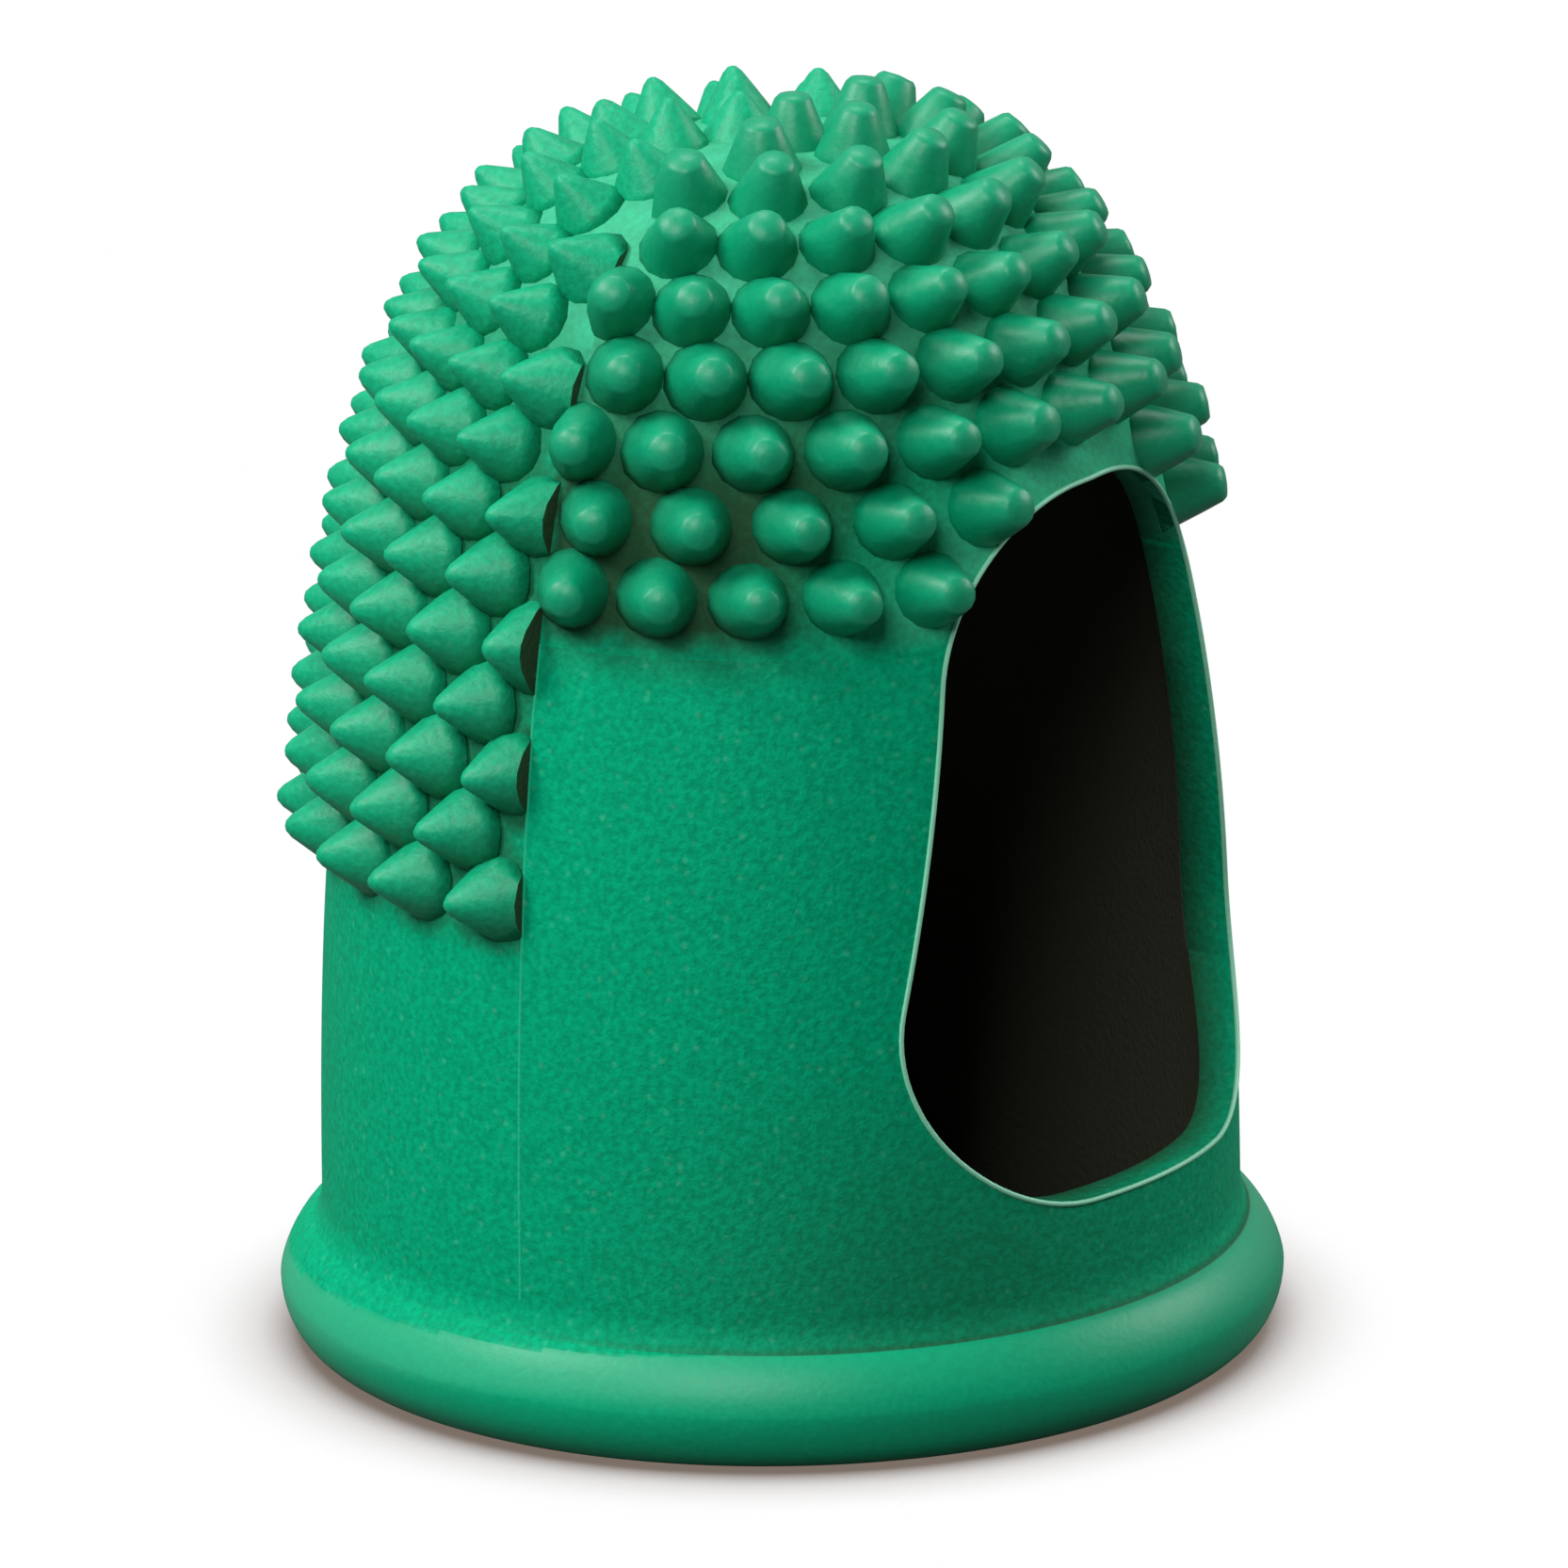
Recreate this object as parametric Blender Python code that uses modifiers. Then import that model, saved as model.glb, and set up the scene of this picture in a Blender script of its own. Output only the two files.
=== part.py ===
"""Rubber fingertip: a hollow tapered finger cap with a rolled rim, a window over the nail and rows of nubs.

The cap is one rubber moulding. Its solids follow the lines that show on it: the rim bead, the smooth
wall, and the two nubbed fields of the nail side and the pad side, which meet at the mould's parting plane.
The nail faces -Y, the finger enters from below, and the origin is the middle of the rim's underside.
"""

import math

import bmesh
import bpy
import numpy as np
from mathutils import Matrix, Vector

MM = 0.001

# Rolled rim: a hollow flare that ends in a crease, a round bead below it, a flat ring underneath
RIM_RADIUS = 11.7 * MM
RIM_HEIGHT = 3.45 * MM
BEAD_STAND = 1.0 * MM
BEAD_LEVEL = 1.4 * MM
BEAD_RISE = 1.3 * MM
BEAD_REACH = 0.8 * MM
FLARE_REACH = 1.2 * MM
RIM_FLAT = 0.6 * MM
MOUTH_ROUND = 0.25 * MM

# Wall: an ogive that stands upright at its foot, inside the bead, and rounds over into the crown
WALL_RADIUS = RIM_RADIUS - BEAD_STAND
WALL_THICKNESS = 0.9 * MM
WALL_FOOT = 2.0 * MM
CROWN_HEIGHT = 28.4 * MM
CROWN_THICKNESS = 1.2 * MM
SIDE_POWER = 2.4
CROWN_POWER = 3.3

# Window over the nail: a slot that narrows upwards, seen from the front
WINDOW_BOTTOM = 5.35 * MM
WINDOW_TOP = 21.6 * MM
WINDOW_FOOT_WIDTH = 15.8 * MM
WINDOW_HEAD_WIDTH = 8.8 * MM
WINDOW_FOOT_ROUND = 4.3 * MM
WINDOW_HEAD_ROUND = 4.9 * MM

# Nubs: blunt cones in staggered rows on the upper wall and the crown, leaning to the way the mould opens
NUB_RADIUS = 1.0 * MM
NUB_TIP_RADIUS = 0.32 * MM
NUB_WAIST = 0.8
NUB_SHOULDER = 0.4
NUB_ROOT = 0.5 * MM
NUB_LIFT = 0.6
NUB_DRAW = 0.85
NUB_GAP = 0.08 * MM
NUB_LEAST_PITCH = 1.7 * MM
CROWN_SHORTER = 0.12
NAIL_FIRST_ROW = 20.0 * MM
NAIL_ROW_PITCH = 1.65 * MM
NAIL_COLUMNS = 13
NAIL_FOOT_MORE = 1
NAIL_EDGE = 0.48 * MM
NAIL_STAGGER = 0.75 * MM
NAIL_NUB_HEIGHT = 1.35 * MM
PAD_FIRST_ROW = 12.75 * MM
PAD_ROW_PITCH = 1.47 * MM
PAD_COLUMNS = 14
PAD_FOOT_MORE = 0
PAD_EDGE = 0.75 * MM
PAD_STAGGER = 1.05 * MM
PAD_NUB_HEIGHT = 1.3 * MM
FIELD_LAND = 0.3 * MM
WINDOW_LAND = 0.1 * MM

# Fit between neighbouring solids, and the fineness of the round shapes
SEAM = 0.1 * MM
MERGE = 0.01 * MM
SHARP_ANGLE = math.radians(35)
NUB_SIDES = 6
TURN_STEPS = 48
SECTION_STEPS = 4
WINDOW_STEPS = 8
WALL_STEPS = 5
CROWN_STEPS = 9
LINE_STEPS = 600

# Green natural rubber, a little darker where nubs shade it
WALL_COLOUR = (0.002, 0.305, 0.14)
RIM_COLOUR = (0.004, 0.30, 0.145)
NUBBED_COLOUR = (0.003, 0.285, 0.13)
SMOOTH_ROUGHNESS = 0.55
WORN_ROUGHNESS = 0.5

# Cutters reach well past the part
REACH = 2 * RIM_RADIUS + CROWN_HEIGHT


def ogive(foot, height, low):
    """(radius, z) points up an ogive of this foot radius and height, from z = low to the axis."""
    line = []
    for step in range(LINE_STEPS + 1):
        turn = math.pi / 2 * step / LINE_STEPS
        z = WALL_FOOT + (height - WALL_FOOT) * math.sin(turn) ** (2 / SIDE_POWER)
        line.append((foot * max(math.cos(turn), 0.0) ** (2 / CROWN_POWER), z))
    line[-1] = (0.0, height)
    radius = float(np.interp(low, [z for _, z in line], [r for r, _ in line]))
    return [(radius, low)] + [(r, z) for r, z in line if z > low]


def along(line, distances):
    """Points at these distances along a line of (radius, z) points, and the line's length."""
    points = np.array(line)
    run = np.concatenate([[0.0], np.cumsum(np.hypot(*np.diff(points, axis=0).T))])
    found = [np.interp(distances, run, points[:, axis]) for axis in (0, 1)]
    return list(zip(*(values.tolist() for values in found))), float(run[-1])


def evenly(line, steps):
    """The same line in even steps."""
    length = along(line, [0.0])[1]
    return along(line, np.linspace(0.0, length, steps + 1))[0]


def outside(low):
    return ogive(WALL_RADIUS, CROWN_HEIGHT, low)


def inside(low):
    return ogive(WALL_RADIUS - WALL_THICKNESS, CROWN_HEIGHT - CROWN_THICKNESS, low)


def between(line, high):
    """The part of a rising line that lies below this height."""
    kept = [(r, z) for r, z in line if z < high]
    radius = float(np.interp(high, [z for _, z in line], [r for r, _ in line]))
    return kept + [(radius, high)]


def arc(centre, radii, start, end, steps=SECTION_STEPS):
    """Points on an elliptical arc between two angles in degrees, both ends included."""
    points = []
    for step in range(steps + 1):
        angle = math.radians(start + (end - start) * step / steps)
        points.append((centre[0] + radii[0] * math.cos(angle), centre[1] + radii[1] * math.sin(angle)))
    return points


def link(name, mesh, collection):
    obj = bpy.data.objects.new(name, mesh)
    collection.objects.link(obj)
    return obj


def turned(name, profile):
    """A solid turned round Z from a profile that runs down its outer side and up its inner side."""
    edges = [(i, i + 1) for i in range(len(profile) - 1)]
    if profile[0][0] > 0:
        edges.append((len(profile) - 1, 0))
    mesh = bpy.data.meshes.new(name)
    mesh.from_pydata([(r, 0.0, z) for r, z in profile], edges, [])
    obj = link(name, mesh, parts)
    screw = obj.modifiers.new("turn", "SCREW")
    screw.steps = TURN_STEPS
    screw.render_steps = TURN_STEPS
    screw.use_merge_vertices = True
    screw.merge_threshold = MERGE
    return obj


def combine(obj, other, operation):
    boolean = obj.modifiers.new(other.name, "BOOLEAN")
    boolean.operation = operation
    boolean.object = other


def block(name, corner, opposite):
    """A box cutter between two corners."""
    bpy.ops.mesh.primitive_cube_add(size=1)
    obj = bpy.context.active_object
    obj.name = name
    low, high = Vector(corner), Vector(opposite)
    obj.data.transform(Matrix.Translation((low + high) / 2) @ Matrix.Diagonal((*(high - low), 1.0)))
    helper(obj)
    return obj


def helper(obj):
    for collection in list(obj.users_collection):
        collection.objects.unlink(obj)
    cutters.objects.link(obj)
    obj.hide_render = True
    obj.display_type = "WIRE"


def window_outline():
    """(x, z) points round the window: a tapered slot with rounded corners."""
    half_foot, half_head = WINDOW_FOOT_WIDTH / 2, WINDOW_HEAD_WIDTH / 2
    height = WINDOW_TOP - WINDOW_BOTTOM
    lean = math.degrees(math.atan2(half_foot - half_head, height))

    def corner(z, rise, radius, start, end):
        level = z + rise * radius
        side = half_foot + (half_head - half_foot) * (level - WINDOW_BOTTOM) / height
        centre = (side - radius / math.cos(math.radians(lean)), level)
        return arc(centre, (radius, radius), start, end, WINDOW_STEPS)

    right = corner(WINDOW_BOTTOM, 1, WINDOW_FOOT_ROUND, -90, lean)
    right += corner(WINDOW_TOP, -1, WINDOW_HEAD_ROUND, lean, 90)
    return right + [(-x, z) for x, z in reversed(right)]


def window_cutter():
    """The window's outline, drawn out through the nail side of the wall."""
    shape = bmesh.new()
    face = shape.faces.new([shape.verts.new((x, -REACH, z)) for x, z in window_outline()])
    drawn = bmesh.ops.extrude_face_region(shape, geom=[face])["geom"]
    moved = [item for item in drawn if isinstance(item, bmesh.types.BMVert)]
    bmesh.ops.translate(shape, verts=moved, vec=(0.0, REACH, 0.0))
    bmesh.ops.recalc_face_normals(shape, faces=shape.faces)
    mesh = bpy.data.meshes.new("window_cutter")
    shape.to_mesh(mesh)
    shape.free()
    obj = link("window_cutter", mesh, cutters)
    helper(obj)
    return obj


def near_window(x, z, margin):
    """Whether a point of the nail side lies in the window or within this margin of its edge."""
    outline = [Vector(point) for point in window_outline()]
    point = Vector((x, z))
    crossings = 0
    for a, b in zip(outline, outline[1:] + outline[:1]):
        edge = b - a
        share = min(1.0, max(0.0, (point - a).dot(edge) / edge.length_squared))
        if (a + edge * share - point).length < margin:
            return True
        if (a.y > z) != (b.y > z) and x < a.x + (z - a.y) / (b.y - a.y) * (b.x - a.x):
            crossings += 1
    return crossings % 2 == 1


def nub_places(first_row, row_pitch, columns, more, edge, stagger, facing):
    """(place, axis) of every nub of one half; facing is the angle of the half's middle, in radians.

    Rows follow each other up the wall at an even pitch and end at this edge from the parting plane. Every
    second row ends short of it by the stagger, with one nub less. The first row may have more nubs, and the
    crown's shorter rows have fewer.
    """
    line = outside(first_row)
    length = along(line, [0.0])[1]
    places = []
    for row in range(int(length / row_pitch) + 1):
        distance = row * row_pitch
        (below, here, above), _ = along(line, [distance - SEAM, distance, distance + SEAM])
        radius, z = here
        half = radius * math.pi / 2 - edge - stagger * (row % 2 if row else more / 2)
        if half < 0:
            break
        lean = math.atan2(below[0] - above[0], above[1] - below[1])
        lift = lean * (NUB_LIFT + (1 - NUB_LIFT) * lean / (math.pi / 2))
        count = min(columns - row % 2 if row else columns + more, int(2 * half / NUB_LEAST_PITCH) + 1)
        turns = np.linspace(-half, half, count) if count > 1 else np.zeros(1)
        for turn in turns / radius:
            stand, draw = facing + turn, facing + NUB_DRAW * turn
            place = Vector((radius * math.cos(stand), radius * math.sin(stand), z))
            flat = math.cos(lift)
            places.append((place, Vector((flat * math.cos(draw), flat * math.sin(draw), math.sin(lift)))))
    return places


def nubs(name, places, tallest):
    """All nubs of a field as blunt cones, with their roots sunk in the wall and clear of each other."""
    shape = bmesh.new()
    for place, axis in places:
        nearest = min((place - other).length for other, _ in places if other != place)
        base = min(NUB_RADIUS, (nearest - NUB_GAP) / 2)
        waist = NUB_WAIST * base + (1 - NUB_WAIST) * NUB_TIP_RADIUS
        height = tallest * (1 - CROWN_SHORTER * axis.z)
        shoulder = NUB_SHOULDER * height
        middle = Matrix.Translation((0.0, 0.0, (shoulder - NUB_ROOT) / 2))
        cone = bmesh.ops.create_cone(
            shape,
            cap_ends=True,
            segments=NUB_SIDES,
            radius1=base,
            radius2=waist,
            depth=shoulder + NUB_ROOT,
            matrix=middle,
        )["verts"]
        sides = {face for corner in cone for face in corner.link_faces}
        cap = max(sides, key=lambda face: face.calc_center_median().z)
        tip = list(bmesh.ops.extrude_discrete_faces(shape, faces=[cap])["faces"][0].verts)
        bmesh.ops.scale(shape, verts=tip, vec=(NUB_TIP_RADIUS / waist, NUB_TIP_RADIUS / waist, 1.0))
        bmesh.ops.translate(shape, verts=tip, vec=(0.0, 0.0, height - shoulder))
        stand = Matrix.Translation(place) @ axis.to_track_quat("Z", "Y").to_matrix().to_4x4()
        bmesh.ops.transform(shape, verts=cone + tip, matrix=stand)
    mesh = bpy.data.meshes.new(name)
    shape.to_mesh(mesh)
    shape.free()
    obj = link(name, mesh, cutters)
    helper(obj)
    return obj


def finish(obj, colour, roughness):
    """Applies the modifiers, shades the round faces smooth and gives the piece its rubber."""
    graph = bpy.context.evaluated_depsgraph_get()
    mesh = bpy.data.meshes.new_from_object(obj.evaluated_get(graph))
    obj.modifiers.clear()
    obj.data = mesh
    mesh.shade_smooth()
    mesh.set_sharp_from_angle(angle=SHARP_ANGLE)
    rubber = bpy.data.materials.new(obj.name + "_rubber")
    rubber.use_nodes = True
    shader = rubber.node_tree.nodes["Principled BSDF"]
    shader.inputs["Base Color"].default_value = (*colour, 1.0)
    shader.inputs["Roughness"].default_value = roughness
    shader.inputs["Metallic"].default_value = 0.0
    mesh.materials.clear()
    mesh.materials.append(rubber)


for leftover in list(bpy.data.objects):
    bpy.data.objects.remove(leftover)
parts = bpy.data.collections.new("rubber_fingertip")
cutters = bpy.data.collections.new("cutters")
bpy.context.scene.collection.children.link(parts)
bpy.context.scene.collection.children.link(cutters)

# Rim bead: wall line, hollow flare, crease, round outer side, flat underside, rounded mouth edge
mouth_radius = WALL_RADIUS - WALL_THICKNESS
rim_line = RIM_HEIGHT
bead_centre = (RIM_RADIUS - BEAD_REACH, BEAD_LEVEL)
flare_turn = math.acos(1 - (bead_centre[0] - WALL_RADIUS) / FLARE_REACH)
flare_drop = (rim_line - BEAD_LEVEL - BEAD_RISE) / math.sin(flare_turn)
flare_centre = (WALL_RADIUS + FLARE_REACH, rim_line)
flat_edge = mouth_radius + MOUTH_ROUND + RIM_FLAT
rim_profile = arc(flare_centre, (FLARE_REACH, flare_drop), 180, 180 + math.degrees(flare_turn))[:-1]
rim_profile += arc(bead_centre, (BEAD_REACH, BEAD_RISE), 90, 0)[:-1]
rim_profile += arc((flat_edge, BEAD_LEVEL), (RIM_RADIUS - flat_edge, BEAD_LEVEL), 0, -90)
rim_profile += arc((mouth_radius + MOUTH_ROUND, MOUTH_ROUND), (MOUTH_ROUND, MOUTH_ROUND), -90, -180)
rim_profile.append((mouth_radius, rim_line))
rim_bead = turned("rim_bead", rim_profile)

# Smooth wall: from the bead up to the nub fields, higher on the nail side, cut by the window
nail_line = NAIL_FIRST_ROW - NUB_RADIUS - FIELD_LAND
pad_line = PAD_FIRST_ROW - NUB_RADIUS - FIELD_LAND
outer_side = evenly(between(outside(rim_line + SEAM), nail_line), WALL_STEPS)
inner_side = evenly(between(inside(rim_line + SEAM), nail_line), WALL_STEPS)
sleeve_wall = turned("sleeve_wall", outer_side[::-1] + inner_side)
pad_space = block("above_pad_line", (-REACH, -SEAM, pad_line), (REACH, REACH, REACH))
combine(sleeve_wall, pad_space, "DIFFERENCE")
window = window_cutter()
combine(sleeve_wall, window, "DIFFERENCE")

# Nail side: the nubbed half of the crown above the window
nail_side_grip = turned(
    "nail_side_grip",
    evenly(outside(nail_line + SEAM), CROWN_STEPS)[::-1] + evenly(inside(nail_line + SEAM), CROWN_STEPS),
)
nail_rows = nub_places(
    NAIL_FIRST_ROW, NAIL_ROW_PITCH, NAIL_COLUMNS, NAIL_FOOT_MORE, NAIL_EDGE, NAIL_STAGGER, -math.pi / 2
)
nail_places = [
    (place, axis)
    for place, axis in nail_rows
    if not near_window(place.x, place.z, NUB_RADIUS + WINDOW_LAND)
]
combine(nail_side_grip, nubs("nail_nubs", nail_places, NAIL_NUB_HEIGHT), "UNION")
combine(nail_side_grip, block("behind_nail_side", (-REACH, -SEAM, 0), (REACH, REACH, REACH)), "DIFFERENCE")
combine(nail_side_grip, window, "DIFFERENCE")

# Pad side: the nubbed half that runs further down under the fingertip
pad_side_grip = turned(
    "pad_side_grip",
    evenly(outside(pad_line + SEAM), CROWN_STEPS)[::-1] + evenly(inside(pad_line + SEAM), CROWN_STEPS),
)
pad_places = nub_places(
    PAD_FIRST_ROW, PAD_ROW_PITCH, PAD_COLUMNS, PAD_FOOT_MORE, PAD_EDGE, PAD_STAGGER, math.pi / 2
)
combine(pad_side_grip, nubs("pad_nubs", pad_places, PAD_NUB_HEIGHT), "UNION")
combine(pad_side_grip, block("ahead_of_pad_side", (-REACH, -REACH, 0), (REACH, 0, REACH)), "DIFFERENCE")

finish(rim_bead, RIM_COLOUR, WORN_ROUGHNESS)
finish(sleeve_wall, WALL_COLOUR, SMOOTH_ROUGHNESS)
finish(nail_side_grip, NUBBED_COLOUR, WORN_ROUGHNESS)
finish(pad_side_grip, NUBBED_COLOUR, WORN_ROUGHNESS)
print(len(nail_places), "nubs on the nail side,", len(pad_places), "on the pad side")
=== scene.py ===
import math
import random

import bpy
import numpy as np
from mathutils import Matrix, Vector


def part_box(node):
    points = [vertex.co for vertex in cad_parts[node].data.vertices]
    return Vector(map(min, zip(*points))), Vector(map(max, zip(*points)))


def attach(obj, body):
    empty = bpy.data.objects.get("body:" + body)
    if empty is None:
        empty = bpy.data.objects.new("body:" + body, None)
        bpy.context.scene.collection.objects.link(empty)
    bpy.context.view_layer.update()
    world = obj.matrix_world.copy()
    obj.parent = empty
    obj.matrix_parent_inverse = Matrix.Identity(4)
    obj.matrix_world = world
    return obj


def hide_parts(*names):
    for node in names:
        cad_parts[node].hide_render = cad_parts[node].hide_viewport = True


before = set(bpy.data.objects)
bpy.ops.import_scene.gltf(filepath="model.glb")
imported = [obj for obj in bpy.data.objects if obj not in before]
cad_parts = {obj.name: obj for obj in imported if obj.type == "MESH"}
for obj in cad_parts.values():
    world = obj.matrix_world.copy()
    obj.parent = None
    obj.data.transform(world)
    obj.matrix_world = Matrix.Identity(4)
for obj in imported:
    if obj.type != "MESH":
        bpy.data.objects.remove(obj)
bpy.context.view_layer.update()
bpy.context.scene.view_settings.view_transform = "Standard"


# Rolled rim: the round bead that stiffens the mouth, with a flat ring underneath to stand on.
# Like the whole cap it is green natural rubber, pressed in one piece between two mould halves and a core.
# Its section, a hollow flare, a flat shoulder and a rounded mouth edge, is turned once round the axis.
MM = 0.001
rim_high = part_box("rim_bead")[1]
RIM_RADIUS = rim_high.x
BEAD_STAND = 1.0 * MM
BEAD_LEVEL = 1.4 * MM
BEAD_REACH = 0.8 * MM
BEAD_RISE = 1.3 * MM
SHOULDER_POWER = 1.4
FLARE_REACH = 1.2 * MM
RIM_FLAT = 0.6 * MM
MOUTH_ROUND = 0.25 * MM
WALL_RADIUS = RIM_RADIUS - BEAD_STAND
WALL_THICKNESS = 0.9 * MM
SECTION_STEPS = 12
TURN_STEP = math.radians(1.5)
MERGE = 0.0005 * MM
SHARP = math.radians(50)
# Rubber from a blasted mould face is satin: two close greens in a fine grain, with pale dust in its pits.
# The grain is drawn a little coarser than it is, so that it shows.
RUBBER_DEEP = "#009267"
RUBBER_LIT = "#00a879"
# A pale green for dust in the grain's pits and for the painted sheen on the bead.
RUBBER_DUST_AND_SHEEN = "#6fcba6"
# A dark brown for painted shade in creases, in valleys, on cut faces and under the nubs.
RUBBER_PAINTED_SHADE = "#26280f"
RUBBER_IOR = 1.52
SHEEN_SPREAD = 0.06
GRAIN_WIDTH = 0.17 * MM
GRAIN_HEIGHT = 0.035 * MM
GRAIN_DETAIL = 2.0
GRAIN_SPREAD = (0.34, 0.66)
GRAIN_RELIEF = 0.8
SPECK_PITCH = 0.38 * MM
SPECK_FADE = (0.26, 0.06)
SPECK_SHARE = 0.25
GRAINED = {"roughness": 0.6, "specular": 0.05, "grain": 1.0}
GLOSSY = {"roughness": 0.42, "specular": 0.2, "grain": 0.3}
LINING_SHADE = "#505244"
LINING_ROUGHNESS = 0.8
LINING_SPECULAR = 0.1
# Painted shade lies in a soft patch under the window and in the crease over the bead, and a pale painted
# sheen on the bead.
# Turns are in degrees from the middle of the nail side, and the band's and the sheen's levels in
# millimetres.
PATCH_SHADE = 0.32
PATCH_TURN = -30.0
PATCH_SPREAD = 36.0
PATCH_LEVELS = (4.5 * MM, 10.0 * MM)
CREASE_SHADE = 0.7
CREASE_TURNS = (50.0, 95.0)
CREASE_WIDTH = 0.22 * MM
BAND_TURNS = (63.0, 100.0, 146.0)
BAND_LEVELS = (2.7, 2.4, 2.0)
# The bead's upper face gets a pale painted sheen; its share and lowest level change with the turn.
BEAD_PAINTED_SHEEN = 0.13
SHEEN_TURNS = (-136.0, -87.0, -63.0, -45.0, -25.0, -8.0, 63.0, 87.0, 136.0)
SHEEN_SHARES = (0.9, 1.0, 0.9, 0.2, 0.2, 0.8, 0.9, 1.0, 0.9)
SHEEN_LEVELS = (1.0, 1.75, 2.05, 2.1, 2.1, 2.0, 2.05, 1.75, 1.0)
SHEEN_FADE = 0.3 * MM


def linear(code):
    """The linear colour of an sRGB hex value."""
    shares = [int(code[place : place + 2], 16) / 255 for place in (1, 3, 5)]
    return [*(s / 12.92 if s <= 0.04045 else ((s + 0.055) / 1.055) ** 2.4 for s in shares), 1.0]


def add_node(tree, kind, inputs=(), **settings):
    """A node with these settings; an input takes a value or another node's output."""
    node = tree.nodes.new(kind)
    for name, value in settings.items():
        setattr(node, name, value)
    for socket, value in dict(inputs).items():
        if isinstance(value, bpy.types.NodeSocket):
            tree.links.new(value, node.inputs[socket])
        else:
            node.inputs[socket].default_value = value
    return node


def new_material(name):
    """A material, its node tree and its Principled shader."""
    material = bpy.data.materials.new(name)
    material.use_nodes = True
    return material, material.node_tree, material.node_tree.nodes["Principled BSDF"]


def moulded_rubber(name, deep, lit, roughness, specular, grain):
    """Satin rubber: a grain of two greens, a few pale specks, pale dust and painted sheen, and painted
    shade, by their attributes.
    """
    material, tree, shader = new_material(name)
    place = add_node(tree, "ShaderNodeTexCoord").outputs["Object"]
    pits = add_node(
        tree,
        "ShaderNodeTexNoise",
        {"Vector": place, "Scale": 1 / GRAIN_WIDTH, "Detail": GRAIN_DETAIL},
    )
    speck = add_node(tree, "ShaderNodeTexVoronoi", {"Vector": place, "Scale": 1 / SPECK_PITCH})
    spread = add_node(
        tree,
        "ShaderNodeMapRange",
        {
            "Value": pits.outputs["Fac"],
            "From Min": GRAIN_SPREAD[0],
            "From Max": GRAIN_SPREAD[1],
            "To Min": 0.5 - 0.5 * grain,
            "To Max": 0.5 + 0.5 * grain,
        },
    )
    green = add_node(
        tree,
        "ShaderNodeMix",
        {"Factor": spread.outputs["Result"], "A": linear(deep), "B": linear(lit)},
        data_type="RGBA",
    )
    near_speck = add_node(
        tree,
        "ShaderNodeMapRange",
        {
            "Value": speck.outputs["Distance"],
            "From Min": SPECK_FADE[0],
            "From Max": SPECK_FADE[1],
            "To Max": SPECK_SHARE * grain,
        },
    )
    speckled = add_node(
        tree,
        "ShaderNodeMath",
        {0: near_speck.outputs["Result"], 1: speck.outputs["Color"]},
        operation="MULTIPLY",
    )
    dust_and_sheen = add_node(tree, "ShaderNodeAttribute", attribute_name="dust_and_sheen")
    pale_share = add_node(
        tree,
        "ShaderNodeMath",
        {0: speckled.outputs[0], 1: dust_and_sheen.outputs["Fac"]},
        operation="MAXIMUM",
    )
    paled = add_node(
        tree,
        "ShaderNodeMix",
        {"Factor": pale_share.outputs[0], "A": green.outputs[2], "B": linear(RUBBER_DUST_AND_SHEEN)},
        data_type="RGBA",
    )
    # The dark brown mix is painted shade, by its attribute.
    shade_attribute = add_node(tree, "ShaderNodeAttribute", attribute_name="painted_shade")
    with_painted_shade = add_node(
        tree,
        "ShaderNodeMix",
        {"Factor": shade_attribute.outputs["Fac"], "A": paled.outputs[2], "B": linear(RUBBER_PAINTED_SHADE)},
        data_type="RGBA",
    )
    sheen = add_node(
        tree,
        "ShaderNodeMapRange",
        {
            "Value": pits.outputs["Fac"],
            "To Min": roughness - SHEEN_SPREAD,
            "To Max": roughness + SHEEN_SPREAD,
        },
    )
    bump = add_node(
        tree,
        "ShaderNodeBump",
        {"Height": pits.outputs["Fac"], "Distance": GRAIN_HEIGHT * grain, "Strength": GRAIN_RELIEF},
    )
    tree.links.new(with_painted_shade.outputs[2], shader.inputs["Base Color"])
    tree.links.new(sheen.outputs["Result"], shader.inputs["Roughness"])
    tree.links.new(bump.outputs["Normal"], shader.inputs["Normal"])
    shader.inputs["IOR"].default_value = RUBBER_IOR
    shader.inputs["Specular IOR Level"].default_value = specular
    return material


def arc(centre, radii, start, end, steps=SECTION_STEPS, power=1.0):
    """Points on an elliptical arc between two angles in degrees, both included; more power flattens it."""
    points = []
    for step in range(steps + 1):
        turn = math.radians(start + (end - start) * step / steps)
        reach = [math.copysign(abs(share) ** power, share) for share in (math.cos(turn), math.sin(turn))]
        points.append((centre[0] + radii[0] * reach[0], centre[1] + radii[1] * reach[1]))
    return points


def drawn(name, corners):
    """A flat face extruded corner by corner from one vertex, left in edit mode with all of it selected."""
    bpy.ops.object.select_all(action="DESELECT")
    bpy.ops.mesh.primitive_plane_add(size=MM)
    piece = bpy.context.active_object
    piece.name = name
    bpy.ops.object.mode_set(mode="EDIT")
    bpy.ops.mesh.select_mode(type="VERT")
    bpy.ops.mesh.merge(type="CENTER")
    bpy.ops.transform.translate(value=corners[0])
    for here, there in zip(corners, corners[1:]):
        bpy.ops.mesh.extrude_region_move(TRANSFORM_OT_translate={"value": there - here})
    bpy.ops.mesh.select_all(action="SELECT")
    bpy.ops.mesh.edge_face_add()
    return piece


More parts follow.
